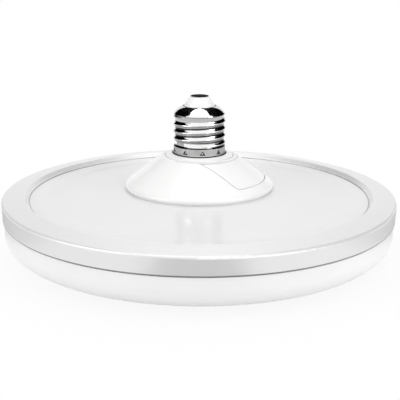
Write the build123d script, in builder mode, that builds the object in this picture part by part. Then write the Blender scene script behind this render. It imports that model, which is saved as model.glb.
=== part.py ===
from build123d import *
import math
import os

# Disc lamp with a screw cap. A flat round lamp: an opal dish closes a moulded
# rim ring, a pressed plate closes the back, and a cone shaped housing on the
# plate holds the driver and carries the screw cap.
# Millimetres. The origin is the middle of the dish's flat bottom, +Z runs up
# the lamp's axis to the cap's contact, and the label faces +X and -Y.

os.makedirs("parts", exist_ok=True)

# Clearances
slip_fit = 0.2        # between pieces that slide together
loose_fit = 0.3       # between clips and what they catch
hair_fit = 0.05       # between a screw and its pilot hole

# Dish, also called the diffuser
disc_radius = 99.0
dish_height = 19.3
dish_side_z = 13.5
dish_shoulder_width = 33.9
dish_set_back = 1.1
dish_wall = 1.6
dish_fullness = 0.688
neck_height = 5.7

# Rim ring
seam_gap = 0.7
band_height = 8.8
band_draft = 0.4
band_wall = 3.0
rim_edge_radius = 1.2
annulus_width = 11.5
annulus_rise = 1.66
annulus_corner_radius = 0.5
recess_depth = 2.46
recess_lean = 1.4
foot_bead = 0.6
ring_lap = 9.0
rim_underside_drop = 1.4

# Snap lugs on the dish's neck, in a groove of the ring
lug_count = 6
lug_arc = 9.0
lug_height = 1.6
lug_reach = 0.9
lug_lift = 2.6

# Hooks of the ring that hold the plate
hook_count = 6
hook_arc = 7.0
hook_reach = 1.0
hook_root = 2.0
hook_height = 1.4
hook_chamfer = 0.6

# Back plate
plate_thickness = 1.2
plate_rise = 4.4
plate_land_width = 13.0
plate_seat_margin = 1.1
plate_bend_radius = 40.0

# Driver housing, the cone
cone_height = 16.2
cone_base_radius = 37.4
cone_top_radius = 19.33
cone_wall = 1.8
cone_foot_step = 0.8
cone_foot_gap = 1.1
cone_lip_height = 1.35
cone_nose_land = 0.06
cone_foot_width = 4.8
cone_crown_rise = 0.3
cone_crown_radius = 1.4
spigot_wall = 1.3
foot_floor = 1.5
roof_thickness = 1.9
collar_height = 1.7
collar_flat_radius = 14.4
collar_edge_rise = 0.7
collar_edge_radius = 0.5
groove_radius = 16.9
groove_width = 0.5
groove_depth = 0.4

# Screw cap, size 27 with a 3.629 pitch
cap_sheet = 0.3
skirt_radius = 12.9
skirt_height = 3.7
skirt_taper = 1.0
flare_radius = 13.7
flare_height = 0.9
thread_pitch = 3.629
thread_crest_radius = 13.2
thread_root_radius = 12.13
thread_length = 14.6
thread_half_width = 1.63
thread_first_lift = 0.9
thread_crest_lift = 5.7
thread_fade = 0.3
thread_sink = 0.23
thread_embed = 0.12
thread_steps = 10
shoulder_radius = 12.9
shoulder_step = 0.6
shoulder_height = 3.8
shoulder_bulge = 0.45
mouth_radius = 7.7
mouth_flat_radius = 8.3

# Crimp marks that hold the cap on the housing's neck
crimp_count = 9
crimp_phase = -82.7
crimp_width = 2.8
crimp_rise = 2.0
crimp_lift = 1.0
crimp_depth = 0.55
crimp_reach = 0.5
crimp_outer_size = 0.75

# Neck of the housing inside the cap
neck_wall = 1.2
neck_reach = 9.7
crimp_groove_depth = 0.9

# Insulator and centre contact
insulator_height = 4.2
insulator_top_radius = 4.9
insulator_bulge = 0.3
insulator_flange = 0.45
insulator_flange_height = 1.4
contact_radius = 4.75
contact_thickness = 0.7
contact_edge_radius = 0.5
stem_radius = 1.4
stem_bore = 0.8
stem_tail = 1.1

# Rating label, blank, let into the cone
label_direction = -24.2
label_half_width = 17.1
label_outer_radius = 33.0
label_inner_radius = 19.4
label_corner_radius = 3.0
label_thickness = 0.5
label_recess = 0.6
label_gap = 0.45

# Light source board
led_board_margin = 10.0
led_board_thickness = 1.6
wire_hole_radius = 5.0
led_ring_count = 4
led_first_ring_count = 12
led_count_step = 8
led_edge_margin = 9.0
led_screw_gap = 1.05
led_length = 3.5
led_width = 2.8
led_height = 0.8

# Pillars of the housing and the screws in them
pillar_count = 3
pillar_radius = 3.0
pillar_root = 0.5
pillar_step = 0.9
board_screw_radius = 1.45
board_screw_length = 10.0
board_screw_head_radius = 2.8
board_screw_head_height = 1.9
pilot_extra = 1.0

# Driver board and its two bosses
driver_board_gap = 0.5
driver_board_thickness = 1.6
driver_board_lift = 1.5
boss_first_angle = -30.0
boss_second_angle = 205.0
boss_inset = 9.0
boss_radius = 2.6
driver_screw_radius = 1.0
driver_screw_length = 6.5
driver_screw_head_radius = 2.0
driver_screw_head_height = 1.3

# Parts on the driver board: how big they are, and where they stand when the
# room under the cone has the layout's radius
layout_room = 22.5
input_capacitor_gap = 0.53
input_capacitor_radius = 5.0
input_capacitor_height = 16.0
output_capacitor_at = (3.0, -14.6)
output_capacitor_radius = 4.0
output_capacitor_height = 10.4
can_edge_radius = 0.6
can_groove_lift = 1.8
can_groove_depth = 0.35
can_groove_roundness = 1.2
transformer_at = (-10.5, 8.5)
core_length = 11.0
core_width = 5.2
core_height = 8.3
core_leg = 1.7
core_centre_leg = 2.8
core_yoke = 1.4
coil_width = 10.0
film_capacitor_at = (11.5, 12.0)
film_capacitor_size = (10.0, 5.0, 8.0)
varistor_at = (-9.5, -12.2)
varistor_radius = 3.5
varistor_thickness = 3.6
varistor_lift = 1.2
lead_radius = 0.35
fuse_at = (-1.0, 17.0)
fuse_radius = 1.8
fuse_length = 8.0
fuse_cap_length = 1.6
bridge_inset = 11.5
bridge_size = (4.0, 4.8, 2.6)
bridge_leg_rows = 2
chip_at = (15.5, 3.2)
chip_size = (4.0, 5.0, 1.5)
chip_leg = (1.0, 0.45, 0.25)
chip_leg_pitch = 1.27
chip_leg_rows = 4

# Wires
mains_wire_radius = 0.9
mains_wire_bend = 4.0
live_wire_share = 0.6
live_wire_drops = (5.0, 12.0)
live_wire_roof_drops = (1.0, 6.5)
live_wire_shift = (-1.0, -3.0)
neutral_wire_share = 0.93
neutral_wire_lifts = (7.0, 4.5, 0.8)
neutral_wire_roof_drop = 5.5
neutral_wire_shifts = (-2.0, -3.0)
neutral_wire_step = 1.2
led_wire_radius = 0.75
led_wire_bend = 3.0
led_wire_spread = 1.6
led_wire_back = 3.0
connector_size = (7.0, 5.0, 3.2)
connector_gap = 3.0

# Radii that follow from the disc and the cone, and heights up the axis
plate_radius = disc_radius - ring_lap
plate_land_radius = plate_radius - plate_land_width
plate_seat_radius = cone_base_radius + plate_seat_margin
led_board_radius = plate_radius - led_board_margin
foot_radius = cone_base_radius - cone_foot_step
spigot_radius = foot_radius - cone_foot_width
spigot_inner_radius = spigot_radius - spigot_wall
plate_opening_radius = spigot_radius + slip_fit
pillar_circle = spigot_inner_radius - pillar_radius + pillar_root
boss_circle = pillar_circle - boss_inset
driver_board_radius = spigot_inner_radius - driver_board_gap
rim_bottom_z = dish_height + seam_gap
rim_edge_z = rim_bottom_z + band_height
annulus_top_z = rim_edge_z + annulus_rise
plate_land_z = annulus_top_z - recess_depth
plate_top_z = plate_land_z + plate_rise
cone_top_z = plate_top_z + cone_height
cap_z = cone_top_z + collar_height
skirt_top_z = cap_z + skirt_height
shoulder_z = skirt_top_z + skirt_taper + thread_length + shoulder_step
mouth_z = shoulder_z + shoulder_height
contact_z = mouth_z + insulator_height
led_board_top_z = plate_land_z - plate_thickness
led_board_z = led_board_top_z - led_board_thickness
driver_board_z = plate_top_z + driver_board_lift
driver_top_z = driver_board_z + driver_board_thickness
roof_z = cone_top_z - roof_thickness

# Slope of the cone's flank, its rounding down to the lip, and points on it or beside it
flank_foot_z = plate_top_z + cone_foot_gap + cone_lip_height
flank_slope = (cone_top_z - flank_foot_z) / (cone_base_radius - cone_top_radius)
flank_angle = math.atan(flank_slope)
cone_nose_radius = (cone_lip_height - cone_nose_land) / math.tan(math.pi / 4 - flank_angle / 2)


def radial_plane(angle):
    """The upright plane through the axis at this angle, with x outwards and y up."""
    turn = math.radians(angle)
    return Plane(
        origin=(0, 0, 0),
        x_dir=(math.cos(turn), math.sin(turn), 0),
        z_dir=(math.sin(turn), -math.cos(turn), 0),
    )


def flank_z(radius, depth=0.0):
    """Height of the cone's flank at a radius, this deep under its surface."""
    return cone_top_z - (radius - cone_top_radius) * flank_slope - depth / math.cos(flank_angle)


def flank_radius(height, depth=0.0):
    """Radius of the cone's flank at a height, this deep under its surface."""
    return cone_top_radius + (flank_z(cone_top_radius, depth) - height) / flank_slope


def polar(radius, angle):
    """A point in plan."""
    turn = math.radians(angle)
    return (radius * math.cos(turn), radius * math.sin(turn))


# The opal dish: a deep curved wall, a shoulder under the seam and a neck with
# snap lugs that goes up inside the rim ring.
dish_radius = disc_radius - dish_set_back
dish_flat_radius = dish_radius - dish_shoulder_width
band_inner_radius = disc_radius - band_wall
neck_radius = band_inner_radius - slip_fit
dish_neck_top_z = dish_height + neck_height
lug_z = dish_height + lug_lift

with BuildPart() as diffuser:
    inner_side = dish_radius - dish_wall
    inner_neck = neck_radius - dish_wall
    outer_pull = dish_fullness * (dish_radius - dish_flat_radius)
    inner_pull = dish_fullness * (inner_side - dish_flat_radius)
    with BuildSketch(Plane.XZ):
        with BuildLine():
            Line((0, 0), (dish_flat_radius, 0))
            Bezier(
                (dish_flat_radius, 0),
                (dish_flat_radius + outer_pull, 0),
                (dish_radius, dish_side_z * (1 - dish_fullness)),
                (dish_radius, dish_side_z),
            )
            Polyline(
                (dish_radius, dish_side_z),
                (dish_radius, dish_height),
                (neck_radius, dish_height),
                (neck_radius, dish_neck_top_z),
                (inner_neck, dish_neck_top_z),
                (inner_neck, dish_height - dish_wall),
                (inner_side, dish_height - dish_wall),
                (inner_side, dish_side_z),
            )
            Bezier(
                (inner_side, dish_side_z),
                (inner_side, dish_wall + (dish_side_z - dish_wall) * (1 - dish_fullness)),
                (dish_flat_radius + inner_pull, dish_wall),
                (dish_flat_radius, dish_wall),
            )
            Polyline((dish_flat_radius, dish_wall), (0, dish_wall), (0, 0))
        make_face()
    revolve(axis=Axis.Z)
    for index in range(lug_count):
        with BuildSketch(radial_plane(index * 360 / lug_count)):
            with BuildLine():
                Polyline(
                    (neck_radius - dish_wall / 2, lug_z),
                    (neck_radius, lug_z),
                    (neck_radius + lug_reach, lug_z + lug_reach / 2),
                    (neck_radius, lug_z + lug_height),
                    (neck_radius - dish_wall / 2, lug_z + lug_height),
                    close=True,
                )
            make_face()
        revolve(axis=Axis.Z, revolution_arc=lug_arc)
diffuser.part.label = "diffuser"
export_step(diffuser.part, "parts/diffuser.step")

# The rim ring: a slightly drafted band with a rounded top edge, a sloping
# annulus, a leaning recess wall that ends in a bead on the plate, a pocket
# for the plate's edge, a groove for the dish's lugs and hooks for the plate.
recess_top_radius = disc_radius - annulus_width
recess_foot_radius = recess_top_radius - recess_lean
pocket_radius = plate_radius + slip_fit
rim_under_z = plate_land_z - rim_underside_drop
snap_groove_low_z = lug_z - loose_fit
snap_groove_high_z = lug_z + lug_height + loose_fit
snap_groove_radius = neck_radius + lug_reach + loose_fit

with BuildPart() as rim_ring:
    with BuildSketch(Plane.XZ):
        with BuildLine():
            Polyline(
                (recess_foot_radius, plate_land_z + foot_bead),
                (recess_top_radius, annulus_top_z),
                (disc_radius, rim_edge_z),
                (disc_radius - band_draft, rim_bottom_z),
                (band_inner_radius, rim_bottom_z),
                (band_inner_radius, snap_groove_low_z),
                (snap_groove_radius, snap_groove_low_z),
                (snap_groove_radius, snap_groove_high_z),
                (band_inner_radius, snap_groove_high_z),
                (band_inner_radius, rim_under_z),
                (pocket_radius, rim_under_z),
                (pocket_radius, plate_land_z),
                (recess_foot_radius - foot_bead, plate_land_z),
            )
            RadiusArc(
                (recess_foot_radius - foot_bead, plate_land_z),
                (recess_foot_radius, plate_land_z + foot_bead),
                foot_bead,
            )
        make_face()
        fillet(vertices().sort_by(Axis.X)[-1], rim_edge_radius)
        fillet(vertices().sort_by(Axis.Y)[-1], annulus_corner_radius)
    revolve(axis=Axis.Z)
    hook_top_z = plate_land_z - plate_thickness
    hook_low_z = rim_under_z - hook_height
    hook_tip_radius = plate_radius - hook_reach
    for index in range(hook_count):
        with BuildSketch(radial_plane((index + 0.5) * 360 / hook_count)):
            with BuildLine():
                Polyline(
                    (hook_tip_radius, hook_top_z),
                    (pocket_radius, hook_top_z),
                    (pocket_radius, rim_under_z + foot_bead),
                    (pocket_radius + hook_root, rim_under_z + foot_bead),
                    (pocket_radius + hook_root, hook_low_z),
                    (hook_tip_radius + hook_chamfer, hook_low_z),
                    (hook_tip_radius, hook_low_z + hook_chamfer),
                    close=True,
                )
            make_face()
        revolve(axis=Axis.Z, revolution_arc=hook_arc)
rim_ring.part.label = "rim_ring"
export_step(rim_ring.part, "parts/rim_ring.step")

# The back plate: one pressed sheet, flat under the ring and under the cone,
# and a shallow slope between them with a long bend at each end.
with BuildPart() as back_plate:
    plate_turn = math.atan(plate_rise / (plate_land_radius - plate_seat_radius))
    bend_shift = plate_thickness * math.tan(plate_turn / 2)
    with BuildSketch(Plane.XZ):
        with BuildLine():
            FilletPolyline(
                (plate_opening_radius, plate_top_z),
                (plate_seat_radius, plate_top_z),
                (plate_land_radius, plate_land_z),
                (plate_radius, plate_land_z),
                radius=(plate_bend_radius + plate_thickness, plate_bend_radius),
            )
            Line((plate_radius, plate_land_z), (plate_radius, plate_land_z - plate_thickness))
            FilletPolyline(
                (plate_radius, plate_land_z - plate_thickness),
                (plate_land_radius - bend_shift, plate_land_z - plate_thickness),
                (plate_seat_radius - bend_shift, plate_top_z - plate_thickness),
                (plate_opening_radius, plate_top_z - plate_thickness),
                radius=(plate_bend_radius + plate_thickness, plate_bend_radius),
            )
            Line((plate_opening_radius, plate_top_z - plate_thickness), (plate_opening_radius, plate_top_z))
        make_face()
    revolve(axis=Axis.Z)
back_plate.part.label = "back_plate"
export_step(back_plate.part, "parts/back_plate.step")

# The screw cap's shell is thin sheet: the solid inside its outer side less the
# solid inside its inner side. Each is a revolved outline with a flared skirt, a
# domed shoulder and a rolled thread, and has the crimp dents taken out of it.
def thread_ridge(inset):
    """A rounded ridge along a helix, sinking into the wall at its first and last part turn."""
    root = thread_root_radius - inset
    rise = thread_crest_radius - thread_root_radius
    half = thread_half_width - inset
    first_turn = (skirt_top_z + thread_first_lift - cap_z - thread_crest_lift) / thread_pitch
    turns = thread_length / thread_pitch
    steps = round(turns * thread_steps)
    points = []
    for step in range(steps + 1):
        done = turns * step / steps
        near = min(done, turns - done, thread_fade) / thread_fade
        sunk = (rise + thread_sink) * (1 - near * near * (3 - 2 * near))
        angle = 2 * math.pi * (first_turn + done)
        height = cap_z + thread_crest_lift + (first_turn + done) * thread_pitch
        points.append(((root - sunk) * math.cos(angle), (root - sunk) * math.sin(angle), height))
    across = radial_plane(360 * first_turn)
    across.origin = points[0]
    with BuildPart() as ridge:
        with BuildLine() as path:
            Spline(*points)
        with BuildSketch(across):
            with BuildLine():
                Spline(
                    (-thread_embed, -half),
                    (rise / 2, -half / 2),
                    (rise, 0),
                    (rise / 2, half / 2),
                    (-thread_embed, half),
                    tangents=[(1.0, 0.4), (-1.0, 0.4)],
                )
                Line((-thread_embed, half), (-thread_embed, -half))
            make_face()
        sweep(path=path.line, is_frenet=True)
    return ridge.part


def crimp_wedges(size, face_radius, depth):
    """Three sided plugs around the skirt, point up, from a face radius inwards."""
    half = size * crimp_width / 2
    middle = crimp_lift + crimp_rise / 2
    with BuildPart() as wedges:
        for index in range(crimp_count):
            turn = math.radians(crimp_phase + index * 360 / crimp_count)
            out = (math.cos(turn), math.sin(turn), 0)
            origin = (face_radius * out[0], face_radius * out[1], cap_z + middle)
            with BuildSketch(Plane(origin=origin, x_dir=(-out[1], out[0], 0), z_dir=out)):
                with BuildLine():
                    Polyline(
                        (-half, -size * crimp_rise / 2),
                        (half, -size * crimp_rise / 2),
                        (0, size * crimp_rise / 2),
                        close=True,
                    )
                make_face()
            extrude(amount=-depth)
    return wedges.part


def sheet_side(inset, dent_size):
    """The solid inside one side of the sheet, this far in from the cap's outer side."""
    edge_drop = inset / 2
    dome_start = (shoulder_radius - inset, shoulder_z - edge_drop)
    dome_end = (mouth_flat_radius, mouth_z - inset)
    dome_middle = (
        (dome_start[0] + dome_end[0]) / 2 + shoulder_bulge * math.sin(math.pi / 4),
        (dome_start[1] + dome_end[1]) / 2 + shoulder_bulge * math.cos(math.pi / 4),
    )
    with BuildPart() as side:
        with BuildSketch(Plane.XZ):
            with BuildLine():
                Polyline(
                    dome_end,
                    (0, mouth_z - inset),
                    (0, cap_z - inset),
                    (flare_radius - inset, cap_z - inset),
                    (skirt_radius - inset, cap_z + flare_height),
                    (skirt_radius - inset, skirt_top_z - edge_drop),
                    (thread_root_radius - inset, skirt_top_z + skirt_taper - edge_drop),
                    (thread_root_radius - inset, shoulder_z - shoulder_step),
                    dome_start,
                )
                ThreePointArc(dome_start, dome_middle, dome_end)
            make_face()
        revolve(axis=Axis.Z)
        add(thread_ridge(inset))
        add(
            crimp_wedges(dent_size, skirt_radius - inset + crimp_reach, crimp_reach + crimp_depth),
            mode=Mode.SUBTRACT,
        )
    return side.part


with BuildPart() as screw_shell:
    add(sheet_side(0, crimp_outer_size))
    add(sheet_side(cap_sheet, 1.0), mode=Mode.SUBTRACT)
    with BuildSketch(Plane.XY.offset(mouth_z)):
        Circle(mouth_radius)
    extrude(amount=-2 * cap_sheet, mode=Mode.SUBTRACT)
screw_shell.part.label = "screw_shell"
export_step(screw_shell.part, "parts/screw_shell.step")

# The insulator in the shell's mouth: a flange under the shoulder, a convex
# nose above the mouth and a bore for the contact's stem.
insulator_radius = mouth_radius - hair_fit
flange_top_z = mouth_z - cap_sheet
insulator_low_z = flange_top_z - insulator_flange_height
with BuildPart() as insulator:
    with BuildSketch(Plane.XZ):
        with BuildLine():
            Polyline(
                (stem_radius + hair_fit, contact_z),
                (stem_radius + hair_fit, insulator_low_z),
                (insulator_radius + insulator_flange, insulator_low_z),
                (insulator_radius + insulator_flange, flange_top_z),
                (insulator_radius, flange_top_z),
                (insulator_radius, mouth_z),
            )
            ThreePointArc(
                (insulator_radius, mouth_z),
                (
                    (insulator_radius + insulator_top_radius) / 2 + insulator_bulge * math.sin(math.pi / 3),
                    (mouth_z + contact_z) / 2 + insulator_bulge * math.cos(math.pi / 3),
                ),
                (insulator_top_radius, contact_z),
            )
            Line((insulator_top_radius, contact_z), (stem_radius + hair_fit, contact_z))
        make_face()
    revolve(axis=Axis.Z)
insulator.part.label = "insulator"
export_step(insulator.part, "parts/insulator.step")

# The centre contact: a rounded disc on a hollow stem.
stem_low_z = insulator_low_z - stem_tail
with BuildPart() as centre_contact:
    with BuildSketch(Plane.XY.offset(contact_z)):
        Circle(contact_radius)
    extrude(amount=contact_thickness)
    fillet(edges().group_by(Axis.Z)[-1], contact_edge_radius)
    with BuildSketch(Plane.XY.offset(contact_z)):
        Circle(stem_radius)
    extrude(amount=-(contact_z - stem_low_z))
    with BuildSketch(Plane.XY.offset(stem_low_z)):
        Circle(stem_bore)
    extrude(amount=contact_z - stem_low_z, mode=Mode.SUBTRACT)
centre_contact.part.label = "centre_contact"
export_step(centre_contact.part, "parts/centre_contact.step")

# The driver housing: a moulded cone with a lip over a shadow gap, a spigot
# through the plate, a grooved collar, a neck that the cap is crimped on,
# pillars down to the light board and bosses for the driver board.
neck_top_z = cap_z + neck_reach
neck_skirt_radius = skirt_radius - cap_sheet - slip_fit
neck_outer_radius = thread_root_radius - cap_sheet - slip_fit
neck_inner_radius = neck_outer_radius - neck_wall
lip_low_z = plate_top_z + cone_foot_gap
floor_z = plate_top_z + foot_floor
crimp_low_z = cap_z + crimp_lift - loose_fit
crimp_high_z = cap_z + crimp_lift + crimp_rise + loose_fit
pillar_spots = [polar(pillar_circle, 90 + index * 360 / pillar_count) for index in range(pillar_count)]
boss_spots = [polar(boss_circle, boss_first_angle), polar(boss_circle, boss_second_angle)]


def conical_layer(depth, height):
    """A layer along the cone's flank, from this deep to this high over it."""
    across = (math.sin(flank_angle), math.cos(flank_angle))
    top = (label_inner_radius - 2 * label_gap, flank_z(label_inner_radius - 2 * label_gap))
    low = (label_outer_radius + 2 * label_gap, flank_z(label_outer_radius + 2 * label_gap))
    with BuildPart() as layer:
        with BuildSketch(Plane.XZ):
            with BuildLine():
                Polyline(
                    (top[0] - depth * across[0], top[1] - depth * across[1]),
                    (low[0] - depth * across[0], low[1] - depth * across[1]),
                    (low[0] + height * across[0], low[1] + height * across[1]),
                    (top[0] + height * across[0], top[1] + height * across[1]),
                    close=True,
                )
            make_face()
        revolve(axis=Axis.Z)
    return layer.part


def label_block(margin, depth, height):
    """The label's outline in plan, grown by a margin, taken out of a conical layer."""
    with BuildPart() as block:
        with BuildSketch(Plane.XY.offset(plate_top_z)) as outline:
            Circle(label_outer_radius + margin)
            Circle(label_inner_radius - margin, mode=Mode.SUBTRACT)
            with Locations(Location(polar(label_outer_radius, label_direction), label_direction)):
                Rectangle(2 * label_outer_radius, 2 * (label_half_width + margin), mode=Mode.INTERSECT)
            corners = outline.vertices().sort_by_distance((0, 0, 0))[-2:]
            fillet(corners, label_corner_radius + margin)
        extrude(amount=cone_height)
        add(conical_layer(depth, height), mode=Mode.INTERSECT)
    return block.part


with BuildPart() as cavity:
    with BuildSketch(Plane.XZ):
        with BuildLine():
            Polyline(
                (0, plate_top_z - plate_thickness),
                (spigot_inner_radius, plate_top_z - plate_thickness),
                (spigot_inner_radius, floor_z),
                (flank_radius(floor_z, cone_wall), floor_z),
                (flank_radius(roof_z, cone_wall), roof_z),
                (neck_inner_radius, roof_z),
                (neck_inner_radius, neck_top_z),
                (0, neck_top_z),
                close=True,
            )
        make_face()
    revolve(axis=Axis.Z)
    with BuildSketch(Plane.XY.offset(plate_top_z - plate_thickness)):
        with Locations(*pillar_spots):
            Circle(pillar_radius)
    extrude(amount=cone_height, mode=Mode.SUBTRACT)
    with BuildSketch(Plane.XY.offset(driver_top_z)):
        with Locations(*pillar_spots):
            Circle(pillar_radius + pillar_step)
        with Locations(*boss_spots):
            Circle(boss_radius)
    extrude(amount=cone_height, mode=Mode.SUBTRACT)

with BuildPart() as driver_housing:
    with BuildSketch(Plane.XZ):
        with BuildLine():
            Polyline(
                (0, plate_top_z - plate_thickness),
                (spigot_radius, plate_top_z - plate_thickness),
                (spigot_radius, plate_top_z),
                (foot_radius, plate_top_z),
                (foot_radius, lip_low_z),
                (cone_base_radius, lip_low_z),
                (cone_base_radius, flank_foot_z),
                (cone_top_radius, cone_top_z),
                (groove_radius + groove_width, cone_top_z + cone_crown_rise),
                (groove_radius + groove_width, cone_top_z - groove_depth),
                (groove_radius, cone_top_z - groove_depth),
                (groove_radius, cone_top_z + collar_edge_rise),
                (collar_flat_radius, cap_z),
                (neck_skirt_radius, cap_z),
                (neck_skirt_radius, crimp_low_z),
                (neck_skirt_radius - crimp_groove_depth, crimp_low_z),
                (neck_skirt_radius - crimp_groove_depth, crimp_high_z),
                (neck_outer_radius, crimp_high_z),
                (neck_outer_radius, neck_top_z),
                (0, neck_top_z),
                close=True,
            )
        make_face()
        for corner, corner_radius in (
            ((cone_base_radius, flank_foot_z, 0), cone_nose_radius),
            ((cone_top_radius, cone_top_z, 0), cone_crown_radius),
            ((groove_radius, cone_top_z + collar_edge_rise, 0), collar_edge_radius),
        ):
            fillet(vertices().sort_by_distance(corner)[0], corner_radius)
    revolve(axis=Axis.Z)
    add(cavity.part, mode=Mode.SUBTRACT)
    with BuildSketch(Plane.XY.offset(led_board_top_z)):
        with Locations(*pillar_spots):
            Circle(pillar_radius)
    extrude(amount=driver_top_z - led_board_top_z)
    with BuildSketch(Plane.XY.offset(led_board_top_z)):
        with Locations(*pillar_spots):
            Circle(board_screw_radius + hair_fit)
    extrude(amount=board_screw_length - led_board_thickness + pilot_extra, mode=Mode.SUBTRACT)
    with BuildSketch(Plane.XY.offset(driver_top_z)):
        with Locations(*boss_spots):
            Circle(driver_screw_radius + hair_fit)
    extrude(amount=driver_screw_length - driver_board_thickness + pilot_extra, mode=Mode.SUBTRACT)
    add(label_block(label_gap, label_recess, 2 * label_gap), mode=Mode.SUBTRACT)
driver_housing.part.label = "driver_housing"
export_step(driver_housing.part, "parts/driver_housing.step")

# The rating label: a thin blank sheet bent round the cone in its recess.
label = label_block(0, label_recess, label_thickness - label_recess)
label.label = "rating_label"
export_step(label, "parts/rating_label.step")

# The light board: a metal disc with holes for the wires and the screws.
with BuildPart() as led_board:
    with BuildSketch(Plane.XY.offset(led_board_z)):
        Circle(led_board_radius)
        Circle(wire_hole_radius, mode=Mode.SUBTRACT)
        with Locations(*pillar_spots):
            Circle(board_screw_radius + slip_fit, mode=Mode.SUBTRACT)
    extrude(amount=led_board_thickness)
led_board.part.label = "led_board"
export_step(led_board.part, "parts/led_board.step")

# The light sources: small square packages in rings on the board's face.
led_first_ring_radius = pillar_circle - board_screw_head_radius - led_length / 2 - led_screw_gap
led_ring_step = (led_board_radius - led_edge_margin - led_first_ring_radius) / (led_ring_count - 1)
with BuildPart() as leds:
    for index in range(led_ring_count):
        ring_radius = led_first_ring_radius + index * led_ring_step
        with BuildSketch(Plane.XY.offset(led_board_z)):
            with PolarLocations(ring_radius, led_first_ring_count + index * led_count_step):
                Rectangle(led_length, led_width)
        extrude(amount=-led_height)
leds.part.label = "leds"
export_step(leds.part, "parts/leds.step")


def pan_screws(spots, seat_z, shank, head):
    """Screws put in from below, each with a shank and a head given as radius and length."""
    with BuildPart() as screws:
        with BuildSketch(Plane.XY.offset(seat_z)):
            with Locations(*spots):
                Circle(head[0])
        extrude(amount=-head[1])
        fillet(edges().group_by(Axis.Z)[0], head[1] / 2)
        with BuildSketch(Plane.XY.offset(seat_z)):
            with Locations(*spots):
                Circle(shank[0])
        extrude(amount=shank[1])
    return screws.part


board_screws = pan_screws(
    pillar_spots,
    led_board_z,
    (board_screw_radius, board_screw_length),
    (board_screw_head_radius, board_screw_head_height),
)
board_screws.label = "board_screws"
export_step(board_screws, "parts/board_screws.step")

driver_screws = pan_screws(
    boss_spots,
    driver_board_z,
    (driver_screw_radius, driver_screw_length),
    (driver_screw_head_radius, driver_screw_head_height),
)
driver_screws.label = "driver_screws"
export_step(driver_screws, "parts/driver_screws.step")

# The driver board: a round board that the pillars pass through.
with BuildPart() as driver_board:
    with BuildSketch(Plane.XY.offset(driver_board_z)):
        Circle(driver_board_radius)
        with Locations(*pillar_spots):
            Circle(pillar_radius + slip_fit, mode=Mode.SUBTRACT)
        with Locations(*boss_spots):
            Circle(driver_screw_radius + slip_fit, mode=Mode.SUBTRACT)
    extrude(amount=driver_board_thickness)
driver_board.part.label = "driver_board"
export_step(driver_board.part, "parts/driver_board.step")


def on_board(spot):
    """A place of the layout, spread out or drawn in with the room under the cone."""
    spread = flank_radius(driver_top_z + core_height, cone_wall) / layout_room
    return (spot[0] * spread, spot[1] * spread)


def can_capacitor(spot, radius, height):
    """An aluminium can with a rolled groove near its foot and rounded rims."""
    with BuildPart() as can:
        with BuildSketch(Plane(origin=(spot[0], spot[1], driver_top_z), x_dir=(1, 0, 0), z_dir=(0, -1, 0))):
            with BuildLine():
                Polyline((0, 0), (radius, 0), (radius, can_groove_lift - can_groove_depth))
                RadiusArc(
                    (radius, can_groove_lift - can_groove_depth),
                    (radius, can_groove_lift + can_groove_depth),
                    can_groove_depth * can_groove_roundness,
                )
                Polyline((radius, can_groove_lift + can_groove_depth), (radius, height), (0, height), (0, 0))
            make_face()
        revolve(axis=Axis((spot[0], spot[1], 0), (0, 0, 1)))
        fillet(edges().group_by(Axis.Z)[-1], can_edge_radius)
    return can.part


input_spot = (neck_inner_radius - input_capacitor_radius - input_capacitor_gap, 0)
input_capacitor = can_capacitor(input_spot, input_capacitor_radius, input_capacitor_height)
input_capacitor.label = "input_capacitor"
export_step(input_capacitor, "parts/input_capacitor.step")

output_spot = on_board(output_capacitor_at)
output_capacitor = can_capacitor(output_spot, output_capacitor_radius, output_capacitor_height)
output_capacitor.label = "output_capacitor"
export_step(output_capacitor, "parts/output_capacitor.step")

# The transformer: a core with three legs, and the coil round its middle leg.
transformer_spot = on_board(transformer_at)
core_middle_z = driver_top_z + core_height / 2
window_height = core_height - 2 * core_yoke
window_width = (core_length - core_centre_leg) / 2 - core_leg
core_face = Plane(origin=(*transformer_spot, core_middle_z), x_dir=(1, 0, 0), z_dir=(0, -1, 0))
with BuildPart() as transformer_core:
    with BuildSketch(core_face):
        Rectangle(core_length, core_height)
        with Locations(
            ((core_centre_leg + window_width) / 2, 0),
            (-(core_centre_leg + window_width) / 2, 0),
        ):
            Rectangle(window_width, window_height, mode=Mode.SUBTRACT)
    extrude(amount=core_width / 2, both=True)
transformer_core.part.label = "transformer_core"
export_step(transformer_core.part, "parts/transformer_core.step")

with BuildPart() as transformer_coil:
    with BuildSketch(Plane(origin=(*transformer_spot, core_middle_z))):
        RectangleRounded(
            core_centre_leg + 2 * (window_width - slip_fit),
            coil_width,
            can_edge_radius * 2,
        )
        Rectangle(core_centre_leg + slip_fit, core_width + slip_fit, mode=Mode.SUBTRACT)
    extrude(amount=window_height / 2 - hair_fit, both=True)
transformer_coil.part.label = "transformer_coil"
export_step(transformer_coil.part, "parts/transformer_coil.step")

# The film capacitor: a moulded box with rounded upright edges.
with BuildPart() as film_capacitor:
    with BuildSketch(Plane(origin=(*on_board(film_capacitor_at), driver_top_z))):
        RectangleRounded(film_capacitor_size[0], film_capacitor_size[1], can_edge_radius)
    extrude(amount=film_capacitor_size[2])
    chamfer(edges().group_by(Axis.Z)[-1], can_edge_radius / 2)
film_capacitor.part.label = "film_capacitor"
export_step(film_capacitor.part, "parts/film_capacitor.step")

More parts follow.
